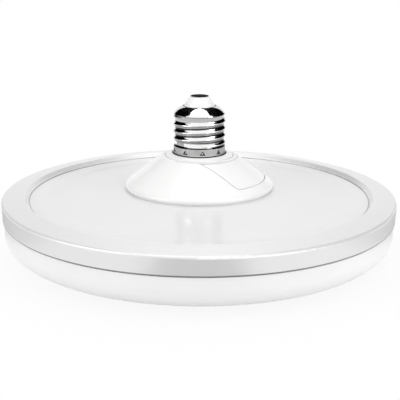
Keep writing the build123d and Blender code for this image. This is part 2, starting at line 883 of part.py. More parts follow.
# The surge arrester: an upright disc on two leads.
varistor_spot = on_board(varistor_at)
varistor_middle_z = driver_top_z + varistor_lift + varistor_radius
with BuildPart() as varistor:
    with BuildSketch(Plane(origin=(*varistor_spot, varistor_middle_z), x_dir=(0, 1, 0), z_dir=(1, 0, 0))):
        Circle(varistor_radius)
    extrude(amount=varistor_thickness / 2, both=True)
    fillet(edges(), can_edge_radius)
    with BuildSketch(Plane(origin=(*varistor_spot, driver_top_z))):
        with Locations((0, varistor_radius / 2), (0, -varistor_radius / 2)):
            Circle(lead_radius)
    extrude(amount=varistor_lift + varistor_radius)
varistor.part.label = "varistor"
export_step(varistor.part, "parts/varistor.step")

# The fuse resistor: a lying barrel with end caps and bent leads.
fuse_x, fuse_y = on_board(fuse_at)
fuse_middle_z = driver_top_z + fuse_radius + can_edge_radius
with BuildPart() as fuse_resistor:
    with BuildSketch(Plane(origin=(fuse_x, fuse_y, fuse_middle_z), x_dir=(0, 1, 0), z_dir=(1, 0, 0))):
        Circle(fuse_radius - can_edge_radius / 2)
    extrude(amount=fuse_length / 2, both=True)
    for side in (-1, 1):
        end = (fuse_x + side * (fuse_length / 2 - fuse_cap_length), fuse_y, fuse_middle_z)
        with BuildSketch(Plane(origin=end, x_dir=(0, 1, 0), z_dir=(side, 0, 0))):
            Circle(fuse_radius)
        extrude(amount=fuse_cap_length)
        tail_x = fuse_x + side * (fuse_length / 2 + fuse_cap_length)
        with BuildLine() as tail:
            FilletPolyline(
                (fuse_x + side * (fuse_length - fuse_cap_length) / 2, fuse_y, fuse_middle_z),
                (tail_x, fuse_y, fuse_middle_z),
                (tail_x, fuse_y, driver_top_z),
                radius=2 * lead_radius,
            )
        with BuildSketch(Plane(origin=tail.line @ 0, z_dir=tail.line % 0)):
            Circle(lead_radius)
        sweep(path=tail.line)
fuse_resistor.part.label = "fuse_resistor"
export_step(fuse_resistor.part, "parts/fuse_resistor.step")


def flat_package(spot, size, leg_rows):
    """A moulded chip with flat legs on two sides."""
    with BuildPart() as package:
        with BuildSketch(Plane(origin=(*spot, driver_top_z + chip_leg[2]))):
            Rectangle(size[0], size[1])
        extrude(amount=size[2] - chip_leg[2])
        chamfer(edges().group_by(Axis.Z)[-1], chip_leg[2])
        with BuildSketch(Plane(origin=(*spot, driver_top_z))):
            for side in (-1, 1):
                with Locations((side * (size[0] / 2 + chip_leg[0] / 4), 0)):
                    with GridLocations(0, chip_leg_pitch, 1, leg_rows):
                        Rectangle(chip_leg[0], chip_leg[1])
        extrude(amount=2 * chip_leg[2])
    return package.part


bridge_spot = (bridge_inset - driver_board_radius, 0)
bridge_rectifier = flat_package(bridge_spot, bridge_size, bridge_leg_rows)
bridge_rectifier.label = "bridge_rectifier"
export_step(bridge_rectifier, "parts/bridge_rectifier.step")

driver_chip = flat_package(on_board(chip_at), chip_size, chip_leg_rows)
driver_chip.label = "driver_chip"
export_step(driver_chip, "parts/driver_chip.step")

# The connector on the light board's face, with a wire mouth for each wire.
connector_z = led_board_z - connector_size[2]
connector_middle_z = connector_z + connector_size[2] / 2
connector_at_y = connector_gap + connector_size[1] / 2 + led_length / 2 - led_first_ring_radius
connector_front_y = connector_at_y + connector_size[1] / 2
with BuildPart() as led_connector:
    with BuildSketch(Plane(origin=(0, connector_at_y, connector_z))):
        Rectangle(connector_size[0], connector_size[1])
    extrude(amount=connector_size[2])
    chamfer(edges().group_by(Axis.Z)[0], can_edge_radius / 2)
    mouth_depth = connector_size[1] / 2
    front = (0, connector_front_y, connector_middle_z)
    with BuildSketch(Plane(origin=front, x_dir=(1, 0, 0), z_dir=(0, 1, 0))):
        with Locations((led_wire_spread, 0), (-led_wire_spread, 0)):
            Circle(led_wire_radius + hair_fit)
    extrude(amount=-mouth_depth, mode=Mode.SUBTRACT)
led_connector.part.label = "led_connector"
export_step(led_connector.part, "parts/led_connector.step")


def wire(points, radius, bend):
    """A round wire: straight runs with an arc at each corner."""
    with BuildPart() as strand:
        with BuildLine() as route:
            FilletPolyline(*points, radius=bend)
        with BuildSketch(Plane(origin=route.line @ 0, z_dir=route.line % 0)):
            Circle(radius)
        sweep(path=route.line)
    return strand.part


# The mains wires come down through the neck: one from the contact's stem, and
# one from the inside of the shell above the neck.
live_side = -(neck_inner_radius - mains_wire_radius) * live_wire_share
live_foot = (live_side + live_wire_shift[0], live_wire_shift[1])
live_wire = wire(
    [
        (0, 0, stem_low_z),
        (0, 0, stem_low_z - live_wire_drops[0]),
        (live_side, 0, stem_low_z - live_wire_drops[1]),
        (live_side, 0, roof_z - live_wire_roof_drops[0]),
        (*live_foot, roof_z - live_wire_roof_drops[1]),
        (*live_foot, driver_top_z),
    ],
    mains_wire_radius,
    mains_wire_bend,
)
live_wire.label = "live_wire"
export_step(live_wire, "parts/live_wire.step")

neutral_start = -(thread_root_radius - cap_sheet - mains_wire_radius - hair_fit)
neutral_side = -(neck_inner_radius - mains_wire_radius - loose_fit) * neutral_wire_share
neutral_foot = (neutral_wire_shifts[1], neutral_side - neutral_wire_step)
neutral_wire = wire(
    [
        (0, neutral_start, neck_top_z + neutral_wire_lifts[0]),
        (0, neutral_start, neck_top_z + neutral_wire_lifts[1]),
        (0, neutral_side, neck_top_z + neutral_wire_lifts[2]),
        (neutral_wire_shifts[0], neutral_side, roof_z),
        (*neutral_foot, roof_z - neutral_wire_roof_drop),
        (*neutral_foot, driver_top_z),
    ],
    mains_wire_radius,
    mains_wire_bend,
)
neutral_wire.label = "neutral_wire"
export_step(neutral_wire, "parts/neutral_wire.step")

# The two low voltage wires go down through the light board and turn back
# into the connector's mouths.
for side, wire_name in ((1, "led_wire_plus"), (-1, "led_wire_minus")):
    led_wire = wire(
        [
            (side * led_wire_spread, -led_wire_back, driver_board_z),
            (side * led_wire_spread, -led_wire_back, connector_middle_z),
            (side * led_wire_spread, connector_front_y - mouth_depth, connector_middle_z),
        ],
        led_wire_radius,
        led_wire_bend,
    )
    led_wire.label = wire_name
    export_step(led_wire, f"parts/{wire_name}.step")
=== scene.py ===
# %% [markdown]
# # A disc lamp with a screw cap
#
# The lamp is a flat white disc about 200 mm wide. It stands on its opal dish,
# with the cap on top. The solids come ready made from the CAD frame, in metres
# and already in place, so this lesson dresses them: each piece gets a finish
# made of nodes, and the picture gets its camera, floor and light.

import math

import bmesh
import bpy
from mathutils import Matrix, Vector


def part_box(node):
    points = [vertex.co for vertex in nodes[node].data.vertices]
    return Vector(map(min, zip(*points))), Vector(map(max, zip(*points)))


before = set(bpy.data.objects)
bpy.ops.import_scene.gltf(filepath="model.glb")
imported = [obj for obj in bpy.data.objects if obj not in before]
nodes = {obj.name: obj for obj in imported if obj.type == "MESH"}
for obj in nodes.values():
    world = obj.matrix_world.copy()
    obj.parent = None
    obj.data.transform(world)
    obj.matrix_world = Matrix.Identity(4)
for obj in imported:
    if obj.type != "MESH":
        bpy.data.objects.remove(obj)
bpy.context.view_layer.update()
print("pieces from CAD:", len(nodes))

# %% [markdown]
# ## Places that come up again
#
# The finishes and the camera need a few places, such as the rim's top and the
# cap's foot. They are read from the boxes of the CAD pieces, so that nothing
# is measured twice and the finishes follow when the solids change.

# %% Places read from the CAD pieces
MM = 0.001

ring_low, ring_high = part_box("rim_ring")
shell_low, shell_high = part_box("screw_shell")

seam_z = ring_low[2]
ring_top_z = ring_high[2]
cap_z = shell_low[2]
plate_top_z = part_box("back_plate")[1][2]
print("disc radius %.1f mm, seam at %.1f mm" % (ring_high[0] / MM, seam_z / MM))
print("cap from %.1f to %.1f mm" % (cap_z / MM, shell_high[2] / MM))

# %% [markdown]
# ## Wires
#
# A procedural finish is a sum of noises and masks. Wiring Math nodes by hand
# hides the sum, so a `Wire` stands for one output socket and turns Python's
# operators into Math nodes: `1 - mask` in the script is one Subtract node.

# %% Wires
class Wire:
    """One output socket; arithmetic on it adds Math nodes."""

    def __init__(self, tree, socket):
        self.tree = tree
        self.socket = socket

    def maths(self, operation, *values):
        """A Math node on these values, or on this wire alone."""
        sockets = dict(enumerate(values or (self,)))
        return self.tree.node("ShaderNodeMath", {"operation": operation}, sockets)

    def clamped(self):
        """The same value, but never over 1."""
        return self.maths("MINIMUM", self, 1)

    def __add__(self, other):
        return self.maths("ADD", self, other)

    def __radd__(self, other):
        return self.maths("ADD", other, self)

    def __sub__(self, other):
        return self.maths("SUBTRACT", self, other)

    def __rsub__(self, other):
        return self.maths("SUBTRACT", other, self)

    def __mul__(self, other):
        return self.maths("MULTIPLY", self, other)

    def __rmul__(self, other):
        return self.maths("MULTIPLY", other, self)

    def __truediv__(self, other):
        return self.maths("DIVIDE", self, other)

    def __rtruediv__(self, other):
        return self.maths("DIVIDE", other, self)


print("a wire knows the signs + - * /")

# %% [markdown]
# ## Trees of nodes
#
# A material and the world are both trees of nodes. One method makes every
# other kind of node. It sets the node's own settings first, because they can
# change its sockets, and then fills the sockets with values or wires.

# %% Trees
class Tree:
    """A node tree that grows node by node."""

    def __init__(self, node_tree):
        self.nodes = node_tree.nodes
        self.links = node_tree.links

    def node(self, kind, settings=None, sockets=None, output=0):
        """Makes a node and gives one of its outputs as a wire."""
        made = self.nodes.new(kind)
        for key, value in (settings or {}).items():
            setattr(made, key, value)
        for key, value in (sockets or {}).items():
            if isinstance(value, Wire):
                self.links.new(value.socket, made.inputs[key])
            else:
                made.inputs[key].default_value = value
        return Wire(self, made.outputs[output])


print("every other kind of node comes from one method")

# %% [markdown]
# ## Where a point lies
#
# Dust, wear and rolling marks follow the shape of the lamp, so a mask has to
# know where a point lies on it. All pieces share the lamp's coordinates, whose
# upright axis runs through the cap. Height, distance from the axis and angle
# round it therefore say enough, and no piece needs a UV map.

# %% Places and masks
class Patterns(Tree):
    """Coordinates, noise and masks for the lamp's surfaces."""

    def place(self, stretch=(1, 1, 1)):
        """Object coordinates in metres, stretched along the axes."""
        point = self.node("ShaderNodeTexCoord", output="Object")
        sockets = {"Vector": point, "Scale": stretch}
        return self.node("ShaderNodeMapping", {"vector_type": "POINT"}, sockets)

    def vector_maths(self, operation, *vectors):
        """A number that Vector Math works out from vectors."""
        sockets = dict(enumerate(vectors))
        return self.node(
            "ShaderNodeVectorMath", {"operation": operation}, sockets, "Value"
        )

    def along(self, direction):
        """How far a point lies in this direction, in metres."""
        return self.vector_maths("DOT_PRODUCT", self.place(), direction)

    def height(self):
        """The height of a point, in metres."""
        return self.along((0, 0, 1))

    def radius(self):
        """The distance of a point from the lamp's axis, in metres."""
        return self.vector_maths("LENGTH", self.place((1, 1, 0)))

    def turn(self):
        """The angle of a point round the lamp's axis."""
        across, back = self.along((1, 0, 0)), self.along((0, 1, 0))
        return back.maths("ARCTAN2", back, across)

    def facing_up(self):
        """1 where the surface faces up, -1 where it faces down."""
        normal = self.node("ShaderNodeTexCoord", output="Normal")
        return self.vector_maths("DOT_PRODUCT", normal, (0, 0, 1))

    def noise(self, grain, detail=3, roughness=0.5, stretch=(1, 1, 1)):
        """Noise whose patches are about as wide as the grain, in metres."""
        sockets = {
            "Vector": self.place(stretch),
            "Scale": 1 / grain,
            "Detail": detail,
            "Roughness": roughness,
        }
        return self.node("ShaderNodeTexNoise", None, sockets, "Fac")

    def above(self, value, limit, soft):
        """1 where the value is over the limit, with a soft edge."""
        sockets = {"Value": value, "From Min": limit - soft, "From Max": limit + soft}
        smooth = {"interpolation_type": "SMOOTHSTEP"}
        return self.node("ShaderNodeMapRange", smooth, sockets)

    def below(self, value, limit, soft):
        """1 where the value is under the limit, with a soft edge."""
        return 1 - self.above(value, limit, soft)

    def band(self, value, low, high, soft):
        """1 where the value lies between two limits, with soft ends."""
        return self.above(value, low, soft) * self.below(value, high, soft)


print("masks: above, below and band")

# %% [markdown]
# ## Finishes
#
# Each finish is one Principled shader. What is the same all over is set on its
# sockets. What changes over the surface is fed in by wires: a colour, a
# roughness, and a bump that tilts the normal.

# %% Finishes
class Finish(Patterns):
    """A material in the making, with constant values set on its shader."""

    def __init__(self, name, **constants):
        self.material = bpy.data.materials.new(name)
        self.material.use_nodes = True
        super().__init__(self.material.node_tree)
        self.shader = self.nodes["Principled BSDF"]
        for key, value in constants.items():
            self.shader.inputs[key.replace("_", " ")].default_value = value

    def feed(self, key, wire):
        """Lets a wire drive one of the shader's sockets."""
        self.links.new(wire.socket, self.shader.inputs[key])

    def blend(self, factor, first, second):
        """One colour going over into another."""
        sockets = {"Factor": factor}
        for key, colour in ((6, first), (7, second)):
            sockets[key] = colour if isinstance(colour, Wire) else (*colour, 1)
        return self.node("ShaderNodeMix", {"data_type": "RGBA"}, sockets, 2)

    def relief(self, height, depth):
        """Bumps of this depth, in metres, on the shader's normal."""
        sockets = {"Height": height, "Distance": depth, "Strength": 1}
        self.feed("Normal", self.node("ShaderNodeBump", None, sockets))


def grey(level):
    """A colour without any tint."""
    return (level, level, level)


def dress(finish, *names):
    """Puts a finish on CAD pieces."""
    for name in names:
        mesh = nodes[name].data
        mesh.materials.clear()
        mesh.materials.append(finish.material)
    print(finish.material.name, "->", ", ".join(names))


# %% [markdown]
# ## The opal dish
#
# The light comes out through this dish. Real ones are moulded in milky plastic
# that lets light wander about inside, which is why their edges look soft. A
# translucent shader could do it, but a little subsurface scattering gives the
# same depth and keeps the dish opaque enough to hide the lights. The mould's
# fine texture is a shallow bump, and the milk is just uneven enough to see.

# %% Opal plastic
opal = Finish(
    "opal_plastic",
    IOR=1.49,
    Subsurface_Weight=0.2,
    Subsurface_Radius=(1, 1, 1),
    Subsurface_Scale=2 * MM,
)
milk = opal.noise(grain=30 * MM, detail=2)
mould_texture = opal.noise(grain=0.6 * MM, detail=2)
opal.feed("Base Color", opal.blend(milk, grey(0.92), grey(0.945)))
opal.feed("Roughness", 0.3 + 0.08 * opal.noise(grain=4 * MM))
opal.relief(mould_texture, depth=0.01 * MM)
dress(opal, "diffuser")

# %% [markdown]
# ## The driver housing
#
# The cone is injection moulded in glossy white plastic. Up close such a surface
# is never perfect: the gloss varies where the melt flowed, and the skin has a
# very faint orange peel. A flat colour would look like paper, so both come from
# noise, stretched along the height as the melt rises in the mould.

# %% Glossy white plastic
white = Finish("gloss_white_plastic", IOR=1.5, Coat_Weight=0.25, Coat_Roughness=0.08)
flow = white.noise(grain=20 * MM, detail=2, stretch=(1, 1, 3))
orange_peel = white.noise(grain=2.5 * MM, detail=2)
moulded = white.blend(flow, (0.88, 0.88, 0.875), (0.91, 0.91, 0.905))
white.feed("Roughness", 0.2 + 0.1 * white.noise(grain=5 * MM))
white.relief(orange_peel, depth=0.012 * MM)
dress(white, "driver_housing")

# %% [markdown]
# ## Painted shade round the label
#
# The label lies in a shallow recess, and the gap round it is painted dark: a
# painted shade, where little light reaches. The gap could be picked out by
# faces, but the mesh has to stay as it is. So a mask finds it by its depth
# under the cone's flank, measured square to the flank. The painted shade is
# weaker towards the right and the back, where the light comes from.

# %% Painted shade round the label
gap_shade = grey(0.1)
flank_slope = 0.7613
flank_start = 63.32 * MM
wall_top, wall_foot = 0.2 * MM, 0.8 * MM
recess_inner, recess_outer = 19 * MM, 33.6 * MM
lit_side = (0.41, 0.912, 0)
lit_from = -10 * MM
faint_share = 0.3

out = white.radius()
under_flank = flank_start - flank_slope * out - white.height()
depth = under_flank * math.cos(math.atan(flank_slope))
wall = white.band(depth, wall_top, wall_foot, soft=0.08 * MM)
gap = wall * white.band(out, recess_inner, recess_outer, soft=0.1 * MM)
free = white.below(white.along(lit_side), lit_from, soft=4 * MM)
# Painted shade in the label's gap, weaker towards the lit side.
shaded_gap = gap * (faint_share + (1 - faint_share) * free)
white.feed("Base Color", white.blend(shaded_gap, moulded, gap_shade))
print("dust from %.1f to %.1f mm under the flank" % (wall_top / MM, wall_foot / MM))

# %% [markdown]
# ## The rim ring
#
# The ring is moulded as well, but its skin is pearly: beside the pure white
# dish it looks slightly silver. Real pearl lacquer holds flakes of mica. A
# small share of metal under a thin coat looks the same from this far, and
# costs nothing.
#
# The ring's lowest edge, where it closes on the dish, is a dark line, because
# little light comes back out of such a joint. The nook where the recess wall
# meets the plate is painted darker, a painted shade for the narrow gap there.

# %% Pearl white plastic
seam_top = seam_z + 0.3 * MM
seam_shade = grey(0.33)
plate_rise = 4.4 * MM
nook_top = plate_top_z - plate_rise + 0.25 * MM
nook_radius = 86 * MM
nook_shade = grey(0.4)

pearl = Finish(
    "pearl_white_plastic", IOR=1.5, Metallic=0.25, Coat_Weight=0.2, Coat_Roughness=0.1
)
swirl = pearl.noise(grain=30 * MM, detail=2, stretch=(1, 1, 3))
skin = pearl.blend(swirl, grey(0.79), grey(0.82))
seam = pearl.below(pearl.height(), seam_top, soft=0.08 * MM)
seamed = pearl.blend(seam, skin, seam_shade)
# Painted shade in the nook at the foot of the recess wall.
low_down = pearl.below(pearl.height(), nook_top, soft=0.1 * MM)
nook = low_down * pearl.below(pearl.radius(), nook_radius, soft=0.1 * MM)
pearl.feed("Base Color", pearl.blend(nook, seamed, nook_shade))
pearl.feed("Roughness", 0.3 + 0.08 * pearl.noise(grain=4 * MM))
pearl.relief(pearl.noise(grain=2 * MM, detail=2), depth=0.01 * MM)
dress(pearl, "rim_ring")

# %% [markdown]
# ## The back plate
#
# The plate is sheet metal with a glossy paint. It mirrors the cone and the cap
# softly. One rough gloss would blur them away, so the paint is a rough base
# under a clear coat, and the coat keeps a wide, shallow ripple from the spray
# gun. The plate's edge, where the sheet runs under the ring, gets the nook's
# painted shade too.

# %% Glossy white paint
shaded_from = 85 * MM

paint = Finish("gloss_white_paint", IOR=1.5, Coat_Weight=0.8, Coat_Roughness=0.12)
spray = paint.noise(grain=12 * MM, detail=2)
ripple = paint.noise(grain=6 * MM, detail=1)
coated = paint.blend(spray, grey(0.73), grey(0.76))
# Painted shade on the plate's edge, in the gap under the ring.
edge = paint.above(paint.radius(), shaded_from, soft=0.1 * MM)
paint.feed("Base Color", paint.blend(edge, coated, nook_shade))
paint.feed("Roughness", 0.3 + 0.1 * paint.noise(grain=3 * MM))
paint.relief(ripple, depth=0.01 * MM)
dress(paint, "back_plate")

# %% [markdown]
# ## The blank label
#
# The label is a thin white film in the cone's recess. It stays blank. A print
# could be an image, but nothing is read on it here: a gloss slightly silkier
# than the plastic's is all that tells it apart.

# %% Label film
film = Finish("label_film", IOR=1.45, Coat_Weight=0.1)
fibre = film.noise(grain=1.5 * MM, detail=4)
film.feed("Base Color", film.blend(fibre, (0.85, 0.85, 0.86), (0.88, 0.88, 0.885)))
film.feed("Roughness", 0.32 + 0.1 * fibre)
dress(film, "rating_label")

# %% [markdown]
# ## The cap's metal
#
# The cap is rolled from nickel plated sheet. The thread is bright, because the
# rollers burnish it, and the skirt under it stays dull, because it is only
# drawn. One material with zones keeps the sheet in one piece, so the finish
# tells the zones apart by height.
#
# The thread's flanks that face down are painted grey, a painted shade that
# their slope picks out. The bottom of the groove, which the radius picks out,
# the thread's foot and the cap's mouth are painted nearly black, painted shade
# in these hollows. The run-out at the thread's top is painted a middle grey, a
# painted shade as well.

# %% Zones of the cap
skirt_top = cap_z + 3.8 * MM
foot_low, foot_high = cap_z + 3.7 * MM, cap_z + 4.5 * MM
groove_low, groove_high = cap_z + 6.5 * MM, cap_z + 17 * MM
run_out_low, run_out_high = cap_z + 17.3 * MM, cap_z + 19.7 * MM
thread_top = cap_z + 19.6 * MM
groove_radius = 12.23 * MM
mouth_radius = 8.4 * MM
facing_down = -0.12

nickel = Finish("nickel_plate", Metallic=1.0)
up = nickel.height()
out = nickel.radius()
skirt = nickel.below(up, skirt_top, soft=0.25 * MM)
thread = (1 - skirt) * nickel.below(up, thread_top, soft=0.3 * MM)
# Painted shade: the downward flanks, the groove's bottom, the thread's foot and the
# mouth.
under = thread * nickel.below(nickel.facing_up(), facing_down, soft=0.12)
full_turns = nickel.band(up, groove_low, groove_high, soft=0.5 * MM)
groove = full_turns * nickel.below(out, groove_radius, soft=0.05 * MM)
mouth = nickel.below(out, mouth_radius, soft=0.1 * MM)
foot = nickel.band(up, foot_low, foot_high, soft=0.15 * MM)
run_out = nickel.band(up, run_out_low, run_out_high, soft=0.3 * MM)
print("skirt up to %.1f mm, thread up to %.1f mm" % (skirt_top / MM, thread_top / MM))

# %% Colours of the zones
bright_metal, dull_metal = (0.93, 0.93, 0.925), (0.52, 0.52, 0.515)
flank_shade, run_out_shade, nearly_black = grey(0.4), grey(0.5), grey(0.04)

# Painted shade: grey on the downward flanks and the run-out, nearly black in the
# groove's bottom, at the foot and round the mouth.
rolled = nickel.blend(under, bright_metal, flank_shade)
shaded_run_out = nickel.blend(run_out, rolled, run_out_shade)
shaded = nickel.blend((groove + mouth + foot).clamped(), shaded_run_out, nearly_black)
drawn = nickel.blend(skirt, shaded, dull_metal)
dress(nickel, "screw_shell")

# %% [markdown]
# ## Crimp marks
#
# The skirt is fixed on the cone by nine triangular punch marks, which the
# solid has. Their walls are painted black, a painted shade in the dents, and
# a bright heart painted in the middle of each is a painted highlight. The
# skirt's flared lower edge is painted black as well, a painted shadow line
# where it sits on the cone. The triangle is a mask again: how far a point
# lies beside the nearest mark, against how high it lies.

# %% Crimp marks
marks = 9
first_mark = math.radians(-82.7)
crimp_step = math.radians(360 / marks)
crimp_z = cap_z + 2 * MM
flare_top = cap_z + 0.45 * MM
skirt_radius = 12.9 * MM
slant = 0.7
dent_shade, dent_highlight = grey(0.02), grey(0.9)
mark_apex, mark_foot = crimp_z + 1.1 * MM, crimp_z - 0.95 * MM
heart_apex, heart_foot = crimp_z + 0.35 * MM, crimp_z - 0.5 * MM

steps = (nickel.turn() - first_mark) / crimp_step
off_mark = (steps + 0.5).maths("FRACT") - 0.5
beside = (off_mark * (crimp_step * skirt_radius)).maths("ABSOLUTE")


def triangle(apex_z, foot_z):
    """A mask of triangles, one over each crimp mark."""
    sides = nickel.below(beside + slant * up, slant * apex_z, soft=0.06 * MM)
    return sides * nickel.above(up, foot_z, soft=0.07 * MM)


mark = triangle(mark_apex, mark_foot)
heart = triangle(heart_apex, heart_foot)
flare = nickel.below(up, flare_top, soft=0.1 * MM)
# Painted shade: the marks' walls and the flared edge go nearly black. Painted
# highlight: the marks' hearts go near white.
marks_shaded = nickel.blend((mark + flare).clamped(), drawn, dent_shade)
nickel.feed("Base Color", nickel.blend(heart, marks_shaded, dent_highlight))
print("crimp marks:", marks)

# %% [markdown]
# ## The cap's gloss
#
# Metal shows by its gloss more than by its colour. The burnished thread is
# nearly a mirror, with fine streaks that run round it, the way it turns
# between the rollers. The skirt is dull and a little cloudy. The streaks are
# noise squeezed along the height, so that no hair has to be modelled.

# %% Nickel's gloss
thread_roughness, streak_roughness, downward_roughness = 0.06, 0.05, 0.12
skirt_roughness, cloud_roughness = 0.45, 0.15

streaks = nickel.noise(grain=4 * MM, detail=4, roughness=0.6, stretch=(0.3, 0.3, 6))
cloud = nickel.noise(grain=3 * MM)
burnished = thread_roughness + streak_roughness * streaks
dull = skirt * (skirt_roughness + cloud_roughness * cloud)
nickel.feed("Roughness", burnished + downward_roughness * under + dull)
nickel.relief(streaks * 0.6 + cloud * 0.4, depth=0.01 * MM)
print("roughness", thread_roughness, "on the thread,", skirt_roughness, "more below")

# %% [markdown]
# ## The insulator
#
# A white glassy nose keeps the centre contact away from the shell. Glass could
# be made with transmission, but this kind is full of white powder, so a white
# base under a clear coat comes closer and renders faster.

# %% Insulator
glaze = Finish("insulator_glaze", IOR=1.52, Coat_Weight=0.5, Coat_Roughness=0.05)
mottle = glaze.noise(grain=2 * MM)
glaze.feed("Base Color", glaze.blend(mottle, grey(0.9), (0.94, 0.94, 0.935)))
glaze.feed("Roughness", 0.15 + 0.12 * mottle)
glaze.relief(mottle, depth=0.02 * MM)
dress(glaze, "insulator")

# %% [markdown]
# ## The centre contact
#
# The contact is a small disc with solder on it. Its top face is nearly black
# and has no shine, so it isn't a metal here, and its height tells it from the
# rim. The rim is painted near white, a painted highlight on its rounded edge.

# %% Centre contact
contact_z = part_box("centre_contact")[1][2]
dark_face_depth = 0.16 * MM

solder = Finish("dark_solder", Specular_IOR_Level=0.05)
grain = solder.noise(grain=0.8 * MM, detail=4, roughness=0.6)
face = solder.above(solder.height(), contact_z - dark_face_depth, soft=0.04 * MM)
dark_top = solder.blend(grain, grey(0.004), grey(0.012))
# The rim's near white is a painted highlight.
solder.feed("Base Color", solder.blend(face, (0.86, 0.86, 0.85), dark_top))
solder.feed("Roughness", 0.6 + 0.25 * grain)
solder.relief(grain, depth=0.03 * MM)
dress(solder, "centre_contact")

# %% [markdown]
# ## What the shells hide
#
# Inside are two boards with their parts. They get plain but real finishes, in
# the colours that such parts have. Each could have a material written out, but
# they differ only in a base colour, a second shade that it wanders to, the
# grain of the wandering and the gloss. So one helper makes them from a table.

# %% A finish for the inside
def plain_finish(name, colour, shade, grain, roughness, metallic):
    """A colour that wanders a little, with gloss and relief of the same grain."""
    made = Finish(name, Metallic=metallic)
    wander = made.noise(grain)
    made.feed("Base Color", made.blend(wander, colour, shade))
    made.feed("Roughness", roughness + 0.15 * wander)
    made.relief(wander, depth=0.01 * MM)
    return made


# Name, colour, shade, grain in millimetres, roughness, metal or not.
plain_finishes = (
    ("white_mask", (0.82, 0.82, 0.8), (0.87, 0.87, 0.85), 3, 0.35, 0),
    ("phosphor", (0.85, 0.62, 0.08), (0.9, 0.7, 0.15), 1, 0.4, 0),
    ("cream_plastic", (0.78, 0.74, 0.62), (0.82, 0.79, 0.68), 2, 0.4, 0),
    ("zinc_steel", grey(0.5), (0.62, 0.62, 0.6), 1, 0.25, 1),
    ("green_mask", (0.02, 0.16, 0.06), (0.03, 0.22, 0.08), 2, 0.3, 0),
    ("brushed_can", (0.6, 0.6, 0.62), (0.7, 0.7, 0.72), 2, 0.3, 1),
    ("ferrite", (0.03, 0.03, 0.032), grey(0.06), 0.6, 0.6, 0),
    ("coil_tape", (0.75, 0.55, 0.06), (0.82, 0.62, 0.1), 1.5, 0.3, 0),
    ("red_lacquer", (0.4, 0.05, 0.03), (0.48, 0.08, 0.04), 2, 0.2, 0),
    ("blue_lacquer", (0.02, 0.08, 0.35), (0.04, 0.12, 0.42), 1.5, 0.2, 0),
    ("tan_lacquer", (0.55, 0.38, 0.22), (0.62, 0.45, 0.28), 1.5, 0.25, 0),
    ("black_resin", (0.012, 0.012, 0.013), grey(0.03), 0.6, 0.5, 0),
    ("black_sleeve", grey(0.015), grey(0.03), 1, 0.4, 0),
    ("white_sleeve", (0.75, 0.75, 0.74), (0.8, 0.8, 0.79), 1, 0.4, 0),
    ("red_sleeve", (0.5, 0.02, 0.015), (0.58, 0.04, 0.03), 1, 0.4, 0),
)
made_inside = {}
for name, colour, shade, grain_mm, roughness, metallic in plain_finishes:
    made_inside[name] = plain_finish(
        name, colour, shade, grain_mm * MM, roughness, metallic
    )
print("plain finishes:", len(made_inside))

# %% The pieces inside
wearers = {
    "white_mask": ("led_board",),
    "phosphor": ("leds",),
    "cream_plastic": ("led_connector",),
    "zinc_steel": ("board_screws", "driver_screws"),
    "green_mask": ("driver_board",),
    "brushed_can": ("input_capacitor", "output_capacitor"),
    "ferrite": ("transformer_core",),
    "coil_tape": ("transformer_coil",),
    "red_lacquer": ("film_capacitor",),
    "blue_lacquer": ("varistor",),
    "tan_lacquer": ("fuse_resistor",),
    "black_resin": ("bridge_rectifier", "driver_chip"),
    "black_sleeve": ("live_wire", "led_wire_minus"),
    "white_sleeve": ("neutral_wire",),
    "red_sleeve": ("led_wire_plus",),
}
for name, pieces in wearers.items():
    dress(made_inside[name], *pieces)

# %% [markdown]
# ## The camera
#
# The camera stands where the photographer's did: in front, half a metre off,
# and looking down by about sixteen degrees. Its place could be guessed by eye,
# but fitting the ellipses of the rim gives it to a fraction of a degree. The
# focal length is given in pixels of a picture 400 wide, and turned into
# millimetres for Blender's 36 mm sensor.

# %% Camera
picture_width = 400
sensor_width = 36.0
focal_pixels = 969.5
camera_distance = 0.495
camera_tilt = math.radians(15.874)
camera_roll = math.radians(0.33)
aside, under_rim = 0.5 * MM, 5.3 * MM

lens = bpy.data.cameras.new("camera")
lens.sensor_width = sensor_width
lens.lens = focal_pixels / picture_width * sensor_width
lens.clip_start = 0.01
camera = bpy.data.objects.new("camera", lens)
bpy.context.collection.objects.link(camera)

target = Vector((aside, 0, ring_top_z - under_rim))
backwards = Vector((0, -math.cos(camera_tilt), math.sin(camera_tilt)))
stand = target + camera_distance * backwards
tilted = Matrix.Rotation(math.radians(90) - camera_tilt, 4, "X")
aim = tilted @ Matrix.Rotation(camera_roll, 4, "Z")
camera.matrix_world = Matrix.Translation(stand) @ aim
bpy.context.scene.camera = camera
print("camera at", [round(v, 3) for v in stand], "lens %.1f mm" % lens.lens)

# %% [markdown]
# ## The floor
#
# The picture's ground is plain white. More light could burn a grey floor out
# to white, but it would burn the lamp out as well. So the floor shines white
# by itself to the camera and in reflections. Near the lamp a small share of it
# stays an ordinary matt surface, which still takes a faint shadow under the
# dish. The share fades out with the distance, so that no edge shows.

# %% Floor
floor_size = 8.0
floor_drop = 0.2 * MM

sheet = bmesh.new()
bmesh.ops.create_grid(sheet, x_segments=1, y_segments=1, size=floor_size / 2)
bmesh.ops.translate(sheet, verts=sheet.verts, vec=(0, 0, -floor_drop))
floor_mesh = bpy.data.meshes.new("floor")
sheet.to_mesh(floor_mesh)
sheet.free()
floor = bpy.data.objects.new("floor", floor_mesh)
bpy.context.collection.objects.link(floor)
print("floor %.0f m wide" % floor_size)

# %% The floor's white
shadow_share = 0.1
shadow_inner, shadow_outer = 0.11, 0.17


def ray(tree, kind):
    """1 for light paths of this kind, 0 for all others."""
    return tree.node("ShaderNodeLightPath", output="Is %s Ray" % kind)


